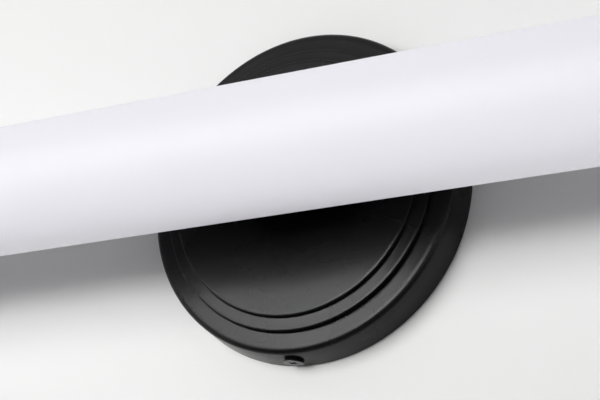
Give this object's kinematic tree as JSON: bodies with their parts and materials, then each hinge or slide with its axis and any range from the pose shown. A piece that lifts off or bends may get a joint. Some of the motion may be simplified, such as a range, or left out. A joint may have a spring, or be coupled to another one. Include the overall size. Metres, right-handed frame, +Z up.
{
  "type": "vanity light",
  "caption": "Bar vanity light: frosted tube with black end caps on a swivelling stem, in front of a round stepped black wall canopy that holds the driver.",
  "frame": {"origin": "centre of the box strap's two wall-box slots, on the wall plane, which is also the centre of the canopy's back", "axes": "+X along the tube, +Y into the wall, +Z up"},
  "size_m": [0.6, 0.0745, 0.1204],
  "materials": {
    "black_powder_coat": "satin powder coat",
    "black_oxide_steel": "satin",
    "zinc_steel": "zinc plated",
    "brass": "plain",
    "opal_acrylic": "frosted",
    "extruded_aluminium": "mill",
    "white_board_mask": "solder mask",
    "led_phosphor": "silicone",
    "white_nylon": "moulded",
    "black_nylon": "moulded",
    "white_polycarbonate": "moulded",
    "green_board_mask": "solder mask",
    "black_component_plastic": "moulded",
    "black_foam": "closed-cell foam",
    "black_silicone": "matt",
    "black_lead": "extruded",
    "white_lead": "extruded",
    "green_lead": "extruded",
    "red_lead": "extruded"
  },
  "bodies": {
    "wall_side": {"canopy": "black_powder_coat", "side_screw": "black_oxide_steel", "canopy_strap": "zinc_steel", "box_strap": "zinc_steel", "strap_eyelet": "brass", "ground_lug": "brass", "ground_screw": "zinc_steel", "ground_lead": "green_lead", "terminal_block": "white_nylon", "terminal_inserts": "brass", "terminal_screws": "zinc_steel", "terminal_pad": "black_foam", "driver_case": "white_polycarbonate", "driver_lid": "white_polycarbonate", "driver_board": "green_board_mask", "driver_components": "black_component_plastic", "driver_pad": "black_foam", "live_lead": "black_lead", "neutral_lead": "white_lead", "driver_lead": "red_lead", "stop_stud": "zinc_steel"},
    "tube_side": {"stem_nipple": "zinc_steel", "lock_nut": "zinc_steel", "spring_washer": "zinc_steel", "stop_washer": "zinc_steel", "inner_friction_washer": "black_nylon", "outer_friction_washer": "black_nylon", "nipple_bush": "white_nylon", "stem_sleeve": "black_powder_coat", "saddle": "black_powder_coat", "saddle_screws": "zinc_steel", "diffuser_tube": "opal_acrylic", "led_carrier": "extruded_aluminium", "plate_nut": "zinc_steel", "led_board_left": "white_board_mask", "led_board_right": "white_board_mask", "led_chips": "led_phosphor", "board_screws": "zinc_steel", "board_connector": "white_nylon", "board_link": "white_nylon", "tube_lead": "red_lead", "end_cap_left": "black_powder_coat", "end_cap_right": "black_powder_coat", "end_gaskets": "black_silicone", "end_screws": "black_oxide_steel"}
  },
  "joints": [
    {"name": "tube_swivel", "type": "hinge", "parent": "wall_side", "child": "tube_side", "pos_m": [0, 0, 0], "axis": [0, 1, 0], "range_deg": [-160, 160]}
  ]
}
